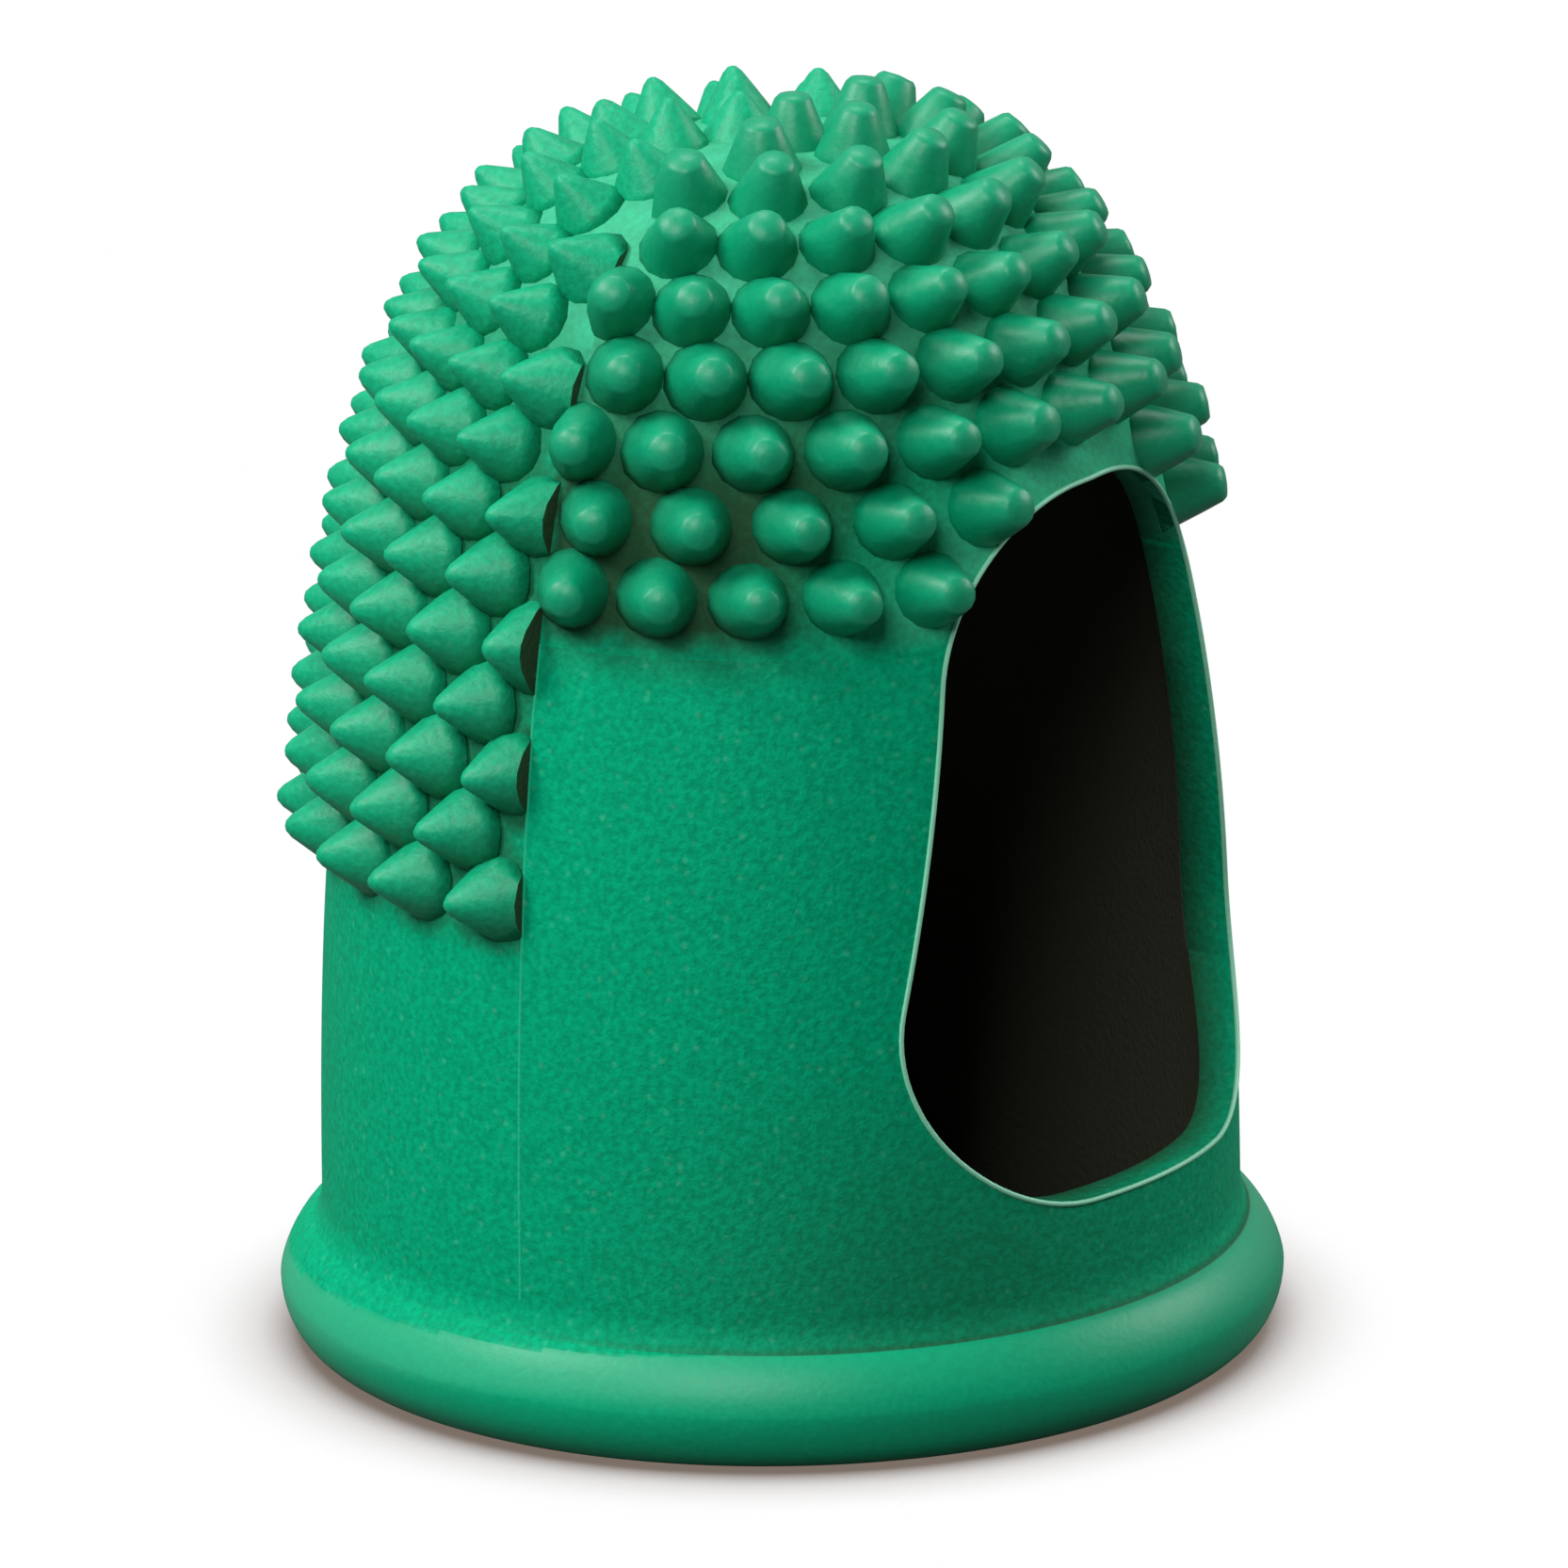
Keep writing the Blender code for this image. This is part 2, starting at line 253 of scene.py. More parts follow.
def spun(name, section, sweep):
    """The solid that a section of (radius, height) points makes as it turns round Z from +X."""
    piece = drawn(name, [Vector((radius, 0.0, height)) for radius, height in section])
    if abs(sweep) == 2 * math.pi:
        bpy.ops.mesh.delete(type="ONLY_FACE")
        bpy.ops.mesh.select_all(action="SELECT")
    bpy.ops.mesh.spin(steps=round(abs(sweep) / TURN_STEP), angle=sweep, center=(0, 0, 0), axis=(0, 0, 1))
    bpy.ops.mesh.select_all(action="SELECT")
    bpy.ops.mesh.remove_doubles(threshold=MERGE)
    bpy.ops.mesh.normals_make_consistent(inside=False)
    bpy.ops.object.mode_set(mode="OBJECT")
    return piece


def dressed(piece, *materials):
    """Gives a piece its materials, rounds its shading and lets it ride with the cap."""
    bpy.ops.object.select_all(action="DESELECT")
    piece.select_set(True)
    bpy.context.view_layer.objects.active = piece
    bpy.ops.object.shade_smooth_by_angle(angle=SHARP)
    for material in materials:
        piece.data.materials.append(material)
    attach(piece, "root")


def painted_shares(piece):
    """Each vertex of a piece with its shares of painted shade and of dust and painted sheen, which its
    rubber reads.
    """
    for name in ("painted_shade", "dust_and_sheen"):
        piece.data.attributes.new(name, "FLOAT", "POINT")
    shares = piece.data.attributes
    return zip(piece.data.vertices, shares["painted_shade"].data, shares["dust_and_sheen"].data)


def turn_of(point):
    """The angle of a point round the axis in degrees: 0 in the middle of the nail side."""
    return math.degrees(math.atan2(point.x, -point.y))


def band_level(point):
    """How high the bead's bare band reaches here: up to the crease, and less towards the pad side."""
    return float(np.interp(abs(turn_of(point)), BAND_TURNS, BAND_LEVELS)) * MM


def patch_shade(point):
    """How much shade is painted on the wall here: a soft patch below the window."""
    across = math.exp(-(((turn_of(point) - PATCH_TURN) / PATCH_SPREAD) ** 2))
    return float(PATCH_SHADE * across * np.interp(point.z, PATCH_LEVELS, (1.0, 0.0)))


# The wall's rubber is grained and nearly without a shine, and the bead is smoother, with a soft one.
green_rubber = moulded_rubber("green_natural_rubber_grained", RUBBER_DEEP, RUBBER_LIT, **GRAINED)
bead_rubber = moulded_rubber("green_natural_rubber_glossy", RUBBER_DEEP, RUBBER_LIT, **GLOSSY)
# The inside is the same rubber, matt and given a near-black colour: painted shade, where no green shows.
lining, lining_tree, lining_shader = new_material("rubber_inside_in_shade")
lining_place = add_node(lining_tree, "ShaderNodeTexCoord").outputs["Object"]
lining_grain = add_node(
    lining_tree, "ShaderNodeTexNoise", {"Vector": lining_place, "Scale": 1 / GRAIN_WIDTH}
)
lining_bump = add_node(
    lining_tree, "ShaderNodeBump", {"Height": lining_grain.outputs["Fac"], "Distance": GRAIN_HEIGHT}
)
lining_tree.links.new(lining_bump.outputs["Normal"], lining_shader.inputs["Normal"])
lining_shader.inputs["Base Color"].default_value = linear(LINING_SHADE)
lining_shader.inputs["Roughness"].default_value = LINING_ROUGHNESS
lining_shader.inputs["Specular IOR Level"].default_value = LINING_SPECULAR

mouth_radius = WALL_RADIUS - WALL_THICKNESS
rim_line = rim_high.z
bead_middle = (RIM_RADIUS - BEAD_REACH, BEAD_LEVEL)
flare_middle = (WALL_RADIUS + FLARE_REACH, rim_line)
flare_end = math.acos(1 - (bead_middle[0] - WALL_RADIUS) / FLARE_REACH)
flare_drop = (rim_line - BEAD_LEVEL - BEAD_RISE) / math.sin(flare_end)
flat_edge = mouth_radius + MOUTH_ROUND + RIM_FLAT
rim_section = arc(flare_middle, (FLARE_REACH, flare_drop), 180, 180 + math.degrees(flare_end))[:-1]
rim_section += arc(bead_middle, (BEAD_REACH, BEAD_RISE), 90, 0, power=SHOULDER_POWER)[:-1]
rim_section += arc((flat_edge, BEAD_LEVEL), (RIM_RADIUS - flat_edge, BEAD_LEVEL), 0, -90)
rim_section += arc((mouth_radius + MOUTH_ROUND, MOUTH_ROUND), (MOUTH_ROUND, MOUTH_ROUND), -90, -180)
rim_section.append((mouth_radius, rim_line))
rim = spun("rolled_rim", rim_section, 2 * math.pi)
dressed(rim, bead_rubber, lining, green_rubber)
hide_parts("rim_bead")
for face in rim.data.polygons:
    inside = math.hypot(face.center.x, face.center.y) < mouth_radius + MERGE
    if inside and face.center.z > MOUTH_ROUND:
        face.material_index = 1
    elif face.center.z > band_level(face.center):
        face.material_index = 2
# The rim gets painted shade in the crease over the bead and in the patch under the window.
for corner, shade_share, dust_and_sheen in painted_shares(rim):
    turn = turn_of(corner.co)
    rise = corner.co.z - BEAD_LEVEL - BEAD_RISE
    if rise > -MERGE:
        crease = np.interp(abs(turn), CREASE_TURNS, (CREASE_SHADE, 0.0))
        crease *= max(0.0, 1 - rise / CREASE_WIDTH)
        shade_share.value = max(patch_shade(corner.co), float(crease))
    # Below the crease the bead's upper face gets the pale painted sheen.
    outside = math.hypot(corner.co.x, corner.co.y) > WALL_RADIUS
    if outside and corner.co.z < band_level(corner.co) + MERGE:
        lowest = np.interp(turn, SHEEN_TURNS, SHEEN_LEVELS) * MM
        fade = np.interp(corner.co.z, (lowest - SHEEN_FADE, lowest), (0.0, 1.0))
        dust_and_sheen.value = float(BEAD_PAINTED_SHEEN * np.interp(turn, SHEEN_TURNS, SHEEN_SHARES) * fade)


# Sleeve: the smooth wall, an ogive that stands upright in the rim and starts to round over above.
# It is the same rubber, as thick as the gap that the mould leaves round its core.
# It runs all round up to the pad side's nubs, and higher on the nail side, where the window opens it.
CROWN_HEIGHT = 28.4 * MM
CROWN_THICKNESS = 1.2 * MM
WALL_FOOT = 2.0 * MM
SIDE_POWER = 2.4
CROWN_POWER = 3.3
SEAM = 0.1 * MM
OUTER_STEP = 0.35 * MM
INNER_STEP = 0.8 * MM
LINE_STEPS = 2000
INNER_SLACK = 1.02
nail_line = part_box("sleeve_wall")[1].z
pad_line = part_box("pad_side_grip")[0].z - SEAM


def ogive(foot, height, low, high, step):
    """(radius, height) points up an ogive in even steps from one height to another, both included."""
    shares = [(level - WALL_FOOT) / (height - WALL_FOOT) for level in (low, high)]
    ends = [math.asin(min(1.0, share) ** (SIDE_POWER / 2)) for share in shares]
    turns = np.linspace(*ends, LINE_STEPS)
    radii = foot * np.maximum(np.cos(turns), 0.0) ** (2 / CROWN_POWER)
    levels = WALL_FOOT + (height - WALL_FOOT) * np.sin(turns) ** (2 / SIDE_POWER)
    run = np.concatenate([[0.0], np.cumsum(np.hypot(np.diff(radii), np.diff(levels)))])
    marks = np.linspace(0.0, run[-1], max(1, round(run[-1] / step)) + 1)
    return list(zip(np.interp(marks, run, radii).tolist(), np.interp(marks, run, levels).tolist()))


def outer_line(low, high=CROWN_HEIGHT, step=OUTER_STEP):
    """(radius, height) points up the cap's outer surface."""
    return ogive(WALL_RADIUS, CROWN_HEIGHT, low, high, step)


def inner_line(low, high=CROWN_HEIGHT - CROWN_THICKNESS, step=INNER_STEP):
    """(radius, height) points up the cap's inner surface."""
    return ogive(mouth_radius, CROWN_HEIGHT - CROWN_THICKNESS, low, high, step)


def on_inner_face(point):
    """Whether a point of the cap lies on its inner surface."""
    rise = (point.z - WALL_FOOT) / (CROWN_HEIGHT - CROWN_THICKNESS - WALL_FOOT)
    width = math.hypot(point.x, point.y) / mouth_radius
    return width**CROWN_POWER + max(rise, 0.0) ** SIDE_POWER < INNER_SLACK


def pick_faces(piece, test):
    """Opens a piece in edit mode with only the faces that pass the test selected."""
    bpy.ops.object.mode_set(mode="EDIT")
    bpy.ops.mesh.select_mode(type="FACE")
    bpy.ops.mesh.select_all(action="DESELECT")
    bpy.ops.object.mode_set(mode="OBJECT")
    for face in piece.data.polygons:
        face.select = test(face)
    bpy.ops.object.mode_set(mode="EDIT")


def shade_inside(piece):
    """Gives the faces of the inner surface the shaded material."""
    for face in piece.data.polygons:
        face.material_index = int(on_inner_face(face.center))


sleeve = spun("sleeve", outer_line(rim_line, pad_line) + inner_line(rim_line, pad_line)[::-1], 2 * math.pi)
nail_band = spun(
    "nail_band", outer_line(pad_line, nail_line) + inner_line(pad_line, nail_line)[::-1], math.pi
)
bpy.ops.object.select_all(action="DESELECT")
nail_band.select_set(True)
sleeve.select_set(True)
bpy.context.view_layer.objects.active = sleeve
bpy.ops.object.join()
pick_faces(sleeve, lambda face: abs(face.center.z - pad_line) < MERGE and face.center.y < 0)
bpy.ops.mesh.delete(type="FACE")
bpy.ops.mesh.select_mode(type="VERT")
bpy.ops.mesh.select_all(action="SELECT")
bpy.ops.mesh.remove_doubles(threshold=MERGE)
bpy.ops.object.mode_set(mode="OBJECT")


# Nail window: the opening that leaves the nail free and airs the finger, a slot that narrows upwards.
# The mould closes on its core here, so the opening has straight sides through the rubber of the wall.
# A thin flash of the same rubber stands round its outer edge.
WINDOW_BOTTOM = 5.35 * MM
WINDOW_TOP = 21.6 * MM
WINDOW_FOOT_WIDTH = 15.8 * MM
WINDOW_HEAD_WIDTH = 8.8 * MM
WINDOW_FOOT_ROUND = 4.3 * MM
WINDOW_HEAD_ROUND = 4.9 * MM
WINDOW_STEPS = 24
FLANK_STEPS = 16
FLASH_RADIUS = 0.06 * MM
FLASH_STEPS = 2
LIP_STEP = 0.3 * MM
# Painted shade: the window's cut face darkens towards the inside, and a painted shadow lies under the lowest
# nubs, fading out beside the window.
CUT_SHADE = 0.75
SHADE_WINDOW = (1.5 * MM, 3.5 * MM)
FIELD_SHADE = 0.3
NUB_SHADOW = 0.7 * MM
RUBBER_FLASH_HIGHLIGHT = "#86d2b0"
POLISHED = {"roughness": 0.42, "specular": 0.32, "grain": 0.35}


def window_outline():
    """(x, height) points round the window: a tapered slot with rounded corners."""
    half_foot = WINDOW_FOOT_WIDTH / 2
    half_head = WINDOW_HEAD_WIDTH / 2
    height = WINDOW_TOP - WINDOW_BOTTOM
    lean = math.atan2(half_foot - half_head, height)

    def corner(level, radius, start, end):
        side = half_foot + (half_head - half_foot) * (level - WINDOW_BOTTOM) / height
        return arc((side - radius / math.cos(lean), level), (radius, radius), start, end, WINDOW_STEPS)

    foot = corner(WINDOW_BOTTOM + WINDOW_FOOT_ROUND, WINDOW_FOOT_ROUND, -90, math.degrees(lean))
    head = corner(WINDOW_TOP - WINDOW_HEAD_ROUND, WINDOW_HEAD_ROUND, math.degrees(lean), 90)
    flank = np.linspace(foot[-1], head[0], FLANK_STEPS + 1)[1:-1].tolist()
    right = foot + flank + head
    return right + [(-x, level) for x, level in reversed(right)]


def window_clearance(place):
    """How far a place on the nail side lies from the window's edge, or 0 inside the window."""
    point = Vector((place.x, place.z))
    clearance = RIM_RADIUS
    crossings = 0
    for a, b in zip(window_edge, window_edge[1:] + window_edge[:1]):
        edge = b - a
        share = min(1.0, max(0.0, (point - a).dot(edge) / edge.length_squared))
        clearance = min(clearance, (a + edge * share - point).length)
        beside = (a.y > point.y) != (b.y > point.y)
        if beside and point.x < a.x + (point.y - a.y) / (b.y - a.y) * (b.x - a.x):
            crossings += 1
    return 0.0 if crossings % 2 else clearance


def cut(piece, cutter):
    """Takes the cutter's space out of a piece."""
    bpy.ops.object.select_all(action="DESELECT")
    bpy.context.view_layer.objects.active = piece
    boolean = piece.modifiers.new("cut", "BOOLEAN")
    boolean.object = cutter
    bpy.ops.object.modifier_apply(modifier="cut")


def outer_radius(level):
    """The radius of the cap's outer surface at this height."""
    share = min(1.0, (level - WALL_FOOT) / (CROWN_HEIGHT - WALL_FOOT)) ** SIDE_POWER
    return WALL_RADIUS * (1 - share) ** (1 / CROWN_POWER)


def flash(name, points, closed):
    """A thin round ridge of flash through these points."""
    bpy.ops.object.select_all(action="DESELECT")
    line = bpy.data.curves.new(name, "CURVE")
    line.dimensions = "3D"
    line.bevel_depth = FLASH_RADIUS
    line.bevel_resolution = FLASH_STEPS
    line.use_fill_caps = not closed
    spline = line.splines.new("POLY")
    spline.points.add(len(points) - 1)
    for place, point in zip(spline.points, points):
        place.co = (*point, 1.0)
    spline.use_cyclic_u = closed
    piece = bpy.data.objects.new(name, line)
    bpy.context.scene.collection.objects.link(piece)
    piece.select_set(True)
    bpy.context.view_layer.objects.active = piece
    bpy.ops.object.convert(target="MESH")
    return piece


outline = window_outline()
window_edge = [Vector(point) for point in outline]
window_reach = 2 * RIM_RADIUS
window_cutter = drawn("window_cutter", [Vector((x, -window_reach, level)) for x, level in outline])
bpy.ops.mesh.extrude_region_move(TRANSFORM_OT_translate={"value": (0.0, window_reach, 0.0)})
bpy.ops.mesh.select_all(action="SELECT")
bpy.ops.mesh.normals_make_consistent(inside=False)
bpy.ops.object.mode_set(mode="OBJECT")
cut(sleeve, window_cutter)
dressed(sleeve, green_rubber, lining)
shade_inside(sleeve)
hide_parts("sleeve_wall")
# The wall gets painted shade: the soft patch, its cut face darker towards the inside, and a painted shadow
# under the lowest nubs.
for corner, shade_share, dust_and_sheen in painted_shares(sleeve):
    shade_share.value = patch_shade(corner.co)
    if on_inner_face(corner.co):
        shade_share.value = CUT_SHADE
    elif corner.co.y < 0 and corner.co.z > nail_line - NUB_SHADOW:
        below_nubs = FIELD_SHADE * (1 - (nail_line - corner.co.z) / NUB_SHADOW)
        beside_window = np.interp(window_clearance(corner.co), SHADE_WINDOW, (0.0, 1.0))
        shade_share.value = below_nubs * float(beside_window)
lip_corners = np.array(outline)
lip_line = []
for here, there in zip(lip_corners, np.roll(lip_corners, -1, axis=0)):
    steps = 1 + int(np.hypot(*(there - here)) / LIP_STEP)
    for x, level in np.linspace(here, there, steps, endpoint=False).tolist():
        lip_line.append(Vector((x, -math.sqrt(outer_radius(level) ** 2 - x**2), level)))
window_flash = flash("window_flash", lip_line, True)
# The flash is given a paler green than the wall: a painted highlight along the window's edge.
flash_highlight_rubber = moulded_rubber("rubber_flash_painted_highlight", RUBBER_FLASH_HIGHLIGHT, RUBBER_FLASH_HIGHLIGHT, **POLISHED)
dressed(window_flash, flash_highlight_rubber)


# Nubs: blunt cones of the same rubber that grip paper, one cavity each in the mould.
# One of each kind is drawn up ring by ring from its sunk root, and copies of it stand in staggered rows.
# The parting plane cuts some of them flat, and shade is painted in the valleys between them and under them.
NUB_RADIUS = 1.0 * MM
NUB_SIDES = 14
NUB_LIFT = 0.6
NUB_OVERLAP = 1.08
NUB_DRAW = 0.78
NUB_LEAST_PITCH = 1.7 * MM
NUB_UNEVEN = 0.04
NUB_TILT = math.radians(2.5)
CROWN_SHORTER = 0.14
ROW_LINE_STEP = 0.02 * MM
EDGE_ROWS = (0, 4, 8)
WINDOW_LAND = 0.5 * MM
WINDOW_CUT = 1.3 * NUB_RADIUS
# The open land is given a paler green towards the crown and beside the window.
LAND_PALENESS = 0.3
LAND_LEVELS = (22.5 * MM, 26.0 * MM)
LAND_WINDOW = (0.8 * MM, 2.2 * MM)
LAND_WINDOW_SHARE = 0.7
LAND_RISE = 0.5 * MM
# Painted shade in the valleys between nubs, round their feet and on their undersides; less on the crown and
# on the pad side.
SHADE_SHARE = 0.85
SHADE_PAD = 0.65
SHADE_CROWN = 0.15
SHADE_LEVELS = (22.0 * MM, 26.5 * MM)
SHADE_REACH = (1.2, 1.55)
SHADE_FOOT = 0.3
SHADE_NUB_LEVEL = 0.7
SHADE_NUB_ABOVE = 0.3
# A dark dull green for the nubs' cut faces: painted shade.
RUBBER_FACET_SHADE = "#3f5a40"


def turned_nub(name, rings, tip, rubber):
    """A nub one unit wide and high, from (radius, height) rings up to its tip."""
    bpy.ops.object.select_all(action="DESELECT")
    (root_width, root_level), (width, level), *upper = rings
    bpy.ops.mesh.primitive_cone_add(
        vertices=NUB_SIDES,
        radius1=root_width,
        radius2=width,
        depth=level - root_level,
        location=(0.0, 0.0, (root_level + level) / 2),
        end_fill_type="NGON",
    )
    piece = bpy.context.active_object
    piece.name = name
    bpy.ops.object.transform_apply(location=True)
    pick_faces(piece, lambda face: face.normal.z > 0.9)
    for ring_width, ring_level in upper:
        bpy.ops.mesh.extrude_region_move(TRANSFORM_OT_translate={"value": (0.0, 0.0, ring_level - level)})
        share = ring_width / width
        bpy.ops.transform.resize(value=(share, share, 1.0), center_override=(0.0, 0.0, 0.0))
        width = ring_width
        level = ring_level
    bpy.ops.mesh.poke()
    bpy.ops.object.mode_set(mode="OBJECT")
    bpy.ops.object.shade_smooth()
    piece.data.materials.append(rubber)
    piece.data.materials.append(facet_shade_rubber)
    for corner in piece.data.vertices:
        if corner.co.xy.length < MERGE and corner.co.z > 0.5:
            corner.co.z = tip
    return piece


def nub_places(first_row, row_pitch, columns, more, edges, stagger, facing):
    """(place, axis) of every nub of one half, whose middle faces this way.

    Rows follow each other up the wall at an even pitch. They end short of the parting line by the three
    edges at the foot, in the fifth row and in the ninth. Every second row is shorter by the stagger, with
    one nub less. The first row may have more nubs, and the crown's shorter rows have fewer.
    """
    line = np.array(outer_line(first_row, step=ROW_LINE_STEP))
    run = np.concatenate([[0.0], np.cumsum(np.hypot(*np.diff(line, axis=0).T))])
    places = []
    for row in range(int(run[-1] / row_pitch) + 1):
        marks = [row * row_pitch - SEAM, row * row_pitch, row * row_pitch + SEAM]
        below, radius, above = np.interp(marks, run, line[:, 0])
        low, level, high = np.interp(marks, run, line[:, 1])
        edge = float(np.interp(row, EDGE_ROWS, edges))
        half = radius * math.pi / 2 - edge - stagger * (row % 2 if row else more / 2)
        if half < 0:
            break
        lean = math.atan2(below - above, high - low)
        lift = lean * (NUB_LIFT + (1 - NUB_LIFT) * lean / (math.pi / 2))
        wanted = columns - row % 2 if row else columns + more
        count = min(wanted, int(2 * half / NUB_LEAST_PITCH) + 1)
        for turn in (np.linspace(-half, half, count) if count > 1 else np.zeros(1)) / radius:
            across = Vector((math.cos(facing + turn), math.sin(facing + turn), 0.0))
            draw = facing + NUB_DRAW * turn
            leaning = Vector((math.cos(draw), math.sin(draw), 0.0))
            place = across * radius + Vector((0.0, 0.0, level))
            if facing > 0 or window_clearance(place) > WINDOW_LAND:
                places.append((place, leaning * math.cos(lift) + Vector((0.0, 0.0, math.sin(lift)))))
    return places


def painted_shade(point):
    """How much shade is painted in the valleys here: most in the dense rows, less on the crown and by the
    window.
    """
    share = SHADE_SHARE * np.interp(point.z, SHADE_LEVELS, (1.0, SHADE_CROWN))
    if point.y > 0:
        return float(share * SHADE_PAD)
    return float(share * np.interp(window_clearance(point), SHADE_WINDOW, (0.0, 1.0)))


def paint_land(grip, places):
    """Paints shade round the feet of the nubs that stand at these places, and makes the open land paler."""
    stands = np.array([place for place, _ in places])
    foot = min(corner.co.z for corner in grip.data.vertices)
    for corner, shade_share, dust_and_sheen in painted_shares(grip):
        near = np.linalg.norm(stands - np.array(corner.co), axis=1).min() / NUB_RADIUS
        rise = min(1.0, (corner.co.z - foot) / LAND_RISE)
        valley = float(np.interp(near, SHADE_REACH, (1.0, 0.0)))
        shade_share.value = painted_shade(corner.co) * valley * max(rise, SHADE_FOOT)
        # The inner surface, and so the window's cut face towards it, gets painted shade.
        if on_inner_face(corner.co):
            shade_share.value = CUT_SHADE
        land = np.interp(corner.co.z, LAND_LEVELS, (0.0, 1.0))
        if corner.co.y < 0:
            clearance = window_clearance(corner.co)
            land = max(land, np.interp(clearance, LAND_WINDOW, (LAND_WINDOW_SHARE, 0.0)))
        dust_and_sheen.value = float(LAND_PALENESS * rise * land)


def stand_nubs(grip, nub, places, nub_width, nub_height, seed):
    """Copies of the nub at these places, each a little uneven, joined to the grip that carries them.

    A nub is as wide as its neighbours let it be. The parting plane and the window cut those that
    reach over them.
    """
    paint_land(grip, places)
    uneven = random.Random(seed)
    side = math.copysign(1.0, places[0][0].y)
    copies = []
    for place, axis in places:
        nearest = min((place - other).length for other, _ in places if other != place)
        width = min(nub_width, NUB_OVERLAP * nearest / 2) * uneven.uniform(1 - NUB_UNEVEN, 1 + NUB_UNEVEN)
        height = nub_height * uneven.uniform(1 - 2 * NUB_UNEVEN, 1.0) * (1 - CROWN_SHORTER * axis.z)
        stand = Matrix.Translation(place) @ axis.to_track_quat("Z", "Y").to_matrix().to_4x4()
        for turn, way in ((NUB_TILT, "X"), (NUB_TILT, "Y"), (math.pi, "Z")):
            stand = stand @ Matrix.Rotation(uneven.uniform(-turn, turn), 4, way)
        copy = nub.copy()
        copy.data = nub.data.copy()
        # Each copy gets painted shade on its underside and towards its root.
        for corner, shade_share, dust_and_sheen in painted_shares(copy):
            side_way = stand.to_3x3() @ Vector((corner.co.x, corner.co.y, 0.0)).normalized()
            under = SHADE_NUB_ABOVE + (1 - SHADE_NUB_ABOVE) * max(0.0, -side_way.z)
            low = max(0.0, 1 - max(corner.co.z, 0.0) / SHADE_NUB_LEVEL)
            shade_share.value = painted_shade(place) * under * low
        copy.data.transform(stand @ Matrix.Diagonal((width, width, height, 1.0)))
        bpy.context.scene.collection.objects.link(copy)
        copies.append(copy)
        bpy.ops.object.select_all(action="DESELECT")
        copy.select_set(True)
        bpy.context.view_layer.objects.active = copy
        if min(side * corner.co.y for corner in copy.data.vertices) < 0:
            bpy.ops.object.mode_set(mode="EDIT")
            bpy.ops.mesh.select_all(action="SELECT")
            bpy.ops.mesh.bisect(
                plane_co=(0, 0, 0), plane_no=(0, side, 0), use_fill=True, clear_inner=True, threshold=MERGE
            )
            bpy.ops.mesh.faces_shade_flat()
            bpy.ops.object.mode_set(mode="OBJECT")
            for face in copy.data.polygons:
                on_plane = abs(face.center.y) < 10 * MERGE
                face.material_index = int(on_plane and abs(face.normal.y) > 0.99)
        if side < 0 and window_clearance(place) < WINDOW_CUT:
            cut(copy, window_cutter)
    bpy.ops.object.select_all(action="DESELECT")
    for piece in [*copies, grip]:
        piece.select_set(True)
    bpy.context.view_layer.objects.active = grip
    bpy.ops.object.join()


# Where the parting plane cuts a nub, its flat face is given a dull, dark green: painted shade.
facet_shade_rubber = moulded_rubber("green_natural_rubber_painted_shade", RUBBER_FACET_SHADE, RUBBER_FACET_SHADE, **GRAINED)


# Nail side: the half of the crown over the nail, down to the window's head.
# It is half of the turned ogive, in the same rubber, with the window cut into it and its nubs joined to it.
NAIL_FIRST_ROW = 20.0 * MM
NAIL_ROW_PITCH = 1.65 * MM
NAIL_COLUMNS = 13
NAIL_FOOT_MORE = 1
NAIL_EDGES = (0.4 * MM, 0.4 * MM, 0.6 * MM)
NAIL_STAGGER = 0.75 * MM
NAIL_FACING = -math.pi / 2
NAIL_NUB_WIDTH = 0.92 * MM
NAIL_NUB_HEIGHT = 1.45 * MM
NAIL_SEED = 11
PEG_RINGS = ((1.12, -0.25), (0.95, 0.06), (0.72, 0.5), (0.5, 0.9), (0.4, 0.98))
PEG_TIP = 1.01
NUB_DEEP = "#00875f"
NUB_LIT = "#00986c"
nail_grip = spun("nail_grip", outer_line(nail_line) + inner_line(nail_line)[::-1], math.pi)
cut(nail_grip, window_cutter)
dressed(nail_grip, green_rubber, lining)
shade_inside(nail_grip)
nail_places = nub_places(
    NAIL_FIRST_ROW, NAIL_ROW_PITCH, NAIL_COLUMNS, NAIL_FOOT_MORE, NAIL_EDGES, NAIL_STAGGER, NAIL_FACING
)
# These nubs come from polished cavities: a deeper green, with a small soft light on each.
smooth_rubber = moulded_rubber("green_natural_rubber_polished", NUB_DEEP, NUB_LIT, **POLISHED)
peg = turned_nub("peg", PEG_RINGS, PEG_TIP, smooth_rubber)
stand_nubs(nail_grip, peg, nail_places, NAIL_NUB_WIDTH, NAIL_NUB_HEIGHT, NAIL_SEED)
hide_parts("nail_side_grip")


# Pad side: the half under the finger's pad, whose pointed nubs run further down to meet the paper.
# It is the other half of the turned ogive, in the same rubber, with its nubs joined to it.
PAD_FIRST_ROW = 12.75 * MM
PAD_ROW_PITCH = 1.47 * MM
PAD_COLUMNS = 14
PAD_FOOT_MORE = 0
PAD_EDGES = (0.9 * MM, 0.35 * MM, 0.9 * MM)
PAD_STAGGER = 1.05 * MM
PAD_FACING = math.pi / 2
PAD_NUB_WIDTH = 1.02 * MM
PAD_NUB_HEIGHT = 1.3 * MM
PAD_SEED = 12
SPIKE_RINGS = ((1.22, -0.25), (0.97, 0.08), (0.61, 0.5), (0.28, 0.87), (0.12, 0.98))
SPIKE_TIP = 1.0
SATIN = {"roughness": 0.46, "specular": 0.25, "grain": 0.7}
